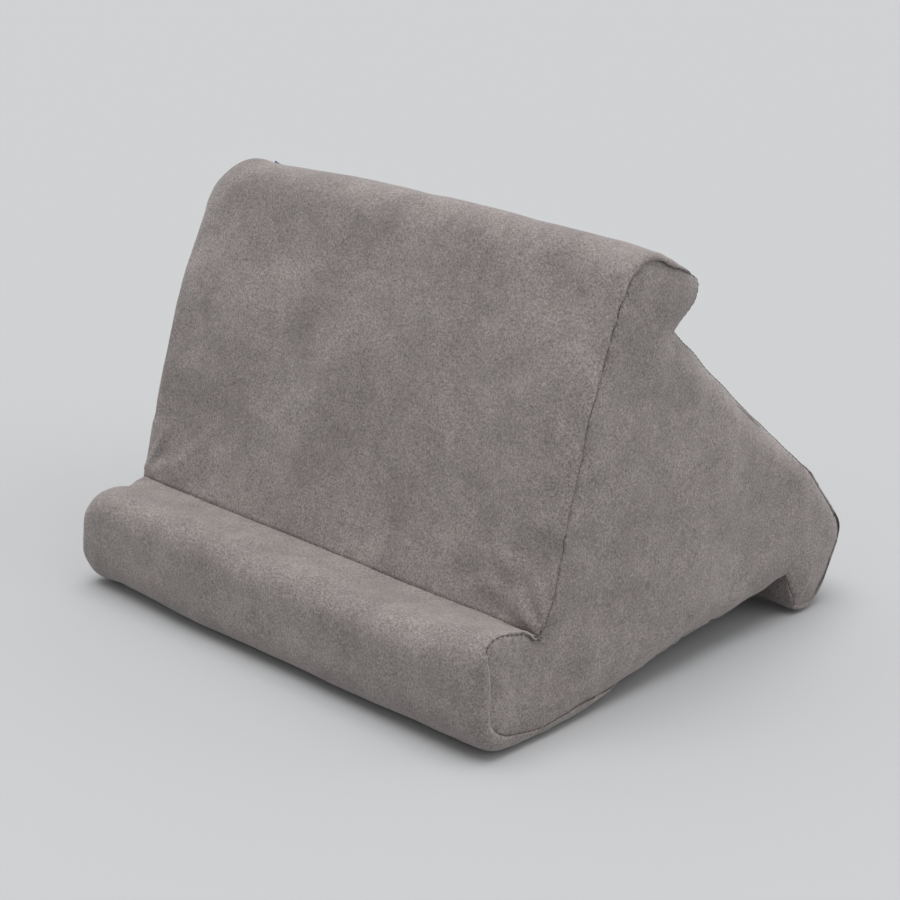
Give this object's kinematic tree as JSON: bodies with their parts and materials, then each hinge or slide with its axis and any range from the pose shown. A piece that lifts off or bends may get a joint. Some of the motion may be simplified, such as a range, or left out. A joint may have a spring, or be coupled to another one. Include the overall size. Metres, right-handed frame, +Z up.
{
  "type": "tablet stand",
  "caption": "Soft foam tablet stand: a padded triangular block whose front, back and base faces each end in a rounded lip that holds a tablet, in a sewn suede-like cover with a hidden zip.",
  "frame": {"origin": "on the surface the stand rests on, under the middle of its box", "axes": "+X across the stand, +Y from the front lip to the rear foot, +Z up"},
  "size_m": [0.284, 0.2606, 0.2112],
  "materials": {
    "cover_fabric": "short brushed nap, taupe grey",
    "foam": "open-cell polyurethane foam",
    "seam_thread": "polyester sewing thread",
    "zip_tape": "woven polyester tape",
    "zip_coil": "nylon coil",
    "zip_metal": "enamelled zinc casting",
    "label_fabric": "blank woven ribbon"
  },
  "bodies": {
    "stand": {"foam_block": "foam", "front_lip_foam": "foam", "top_lip_foam": "foam", "rear_foot_foam": "foam", "front_cover_panel": "cover_fabric", "back_cover_panel": "cover_fabric", "base_front_cover_panel": "cover_fabric", "base_rear_cover_panel": "cover_fabric", "left_side_panel": "cover_fabric", "right_side_panel": "cover_fabric", "left_side_seam": "seam_thread", "right_side_seam": "seam_thread", "front_groove_seam": "seam_thread", "back_groove_seam": "seam_thread", "base_groove_seam": "seam_thread", "zip_end_seams": "seam_thread", "zip_stitching": "seam_thread", "zip_tape_front": "zip_tape", "zip_tape_rear": "zip_tape", "zip_coil_front": "zip_coil", "zip_coil_rear": "zip_coil", "zip_bottom_stop": "zip_coil", "zip_top_stops": "zip_metal", "side_label": "label_fabric"},
    "slider": {"zip_slider": "zip_metal"},
    "pull": {"zip_pull": "zip_metal"}
  },
  "joints": [
    {"name": "zip_open", "type": "slide", "parent": "stand", "child": "slider", "axis": [1, 0, 0], "range_m": [0, 0.2]},
    {"name": "pull_swing", "type": "hinge", "parent": "slider", "child": "pull", "pos_m": [-0.1, 0.05545, 0.01645], "axis": [0, -0.9885, -0.1511], "range_deg": [-85, 85]}
  ]
}
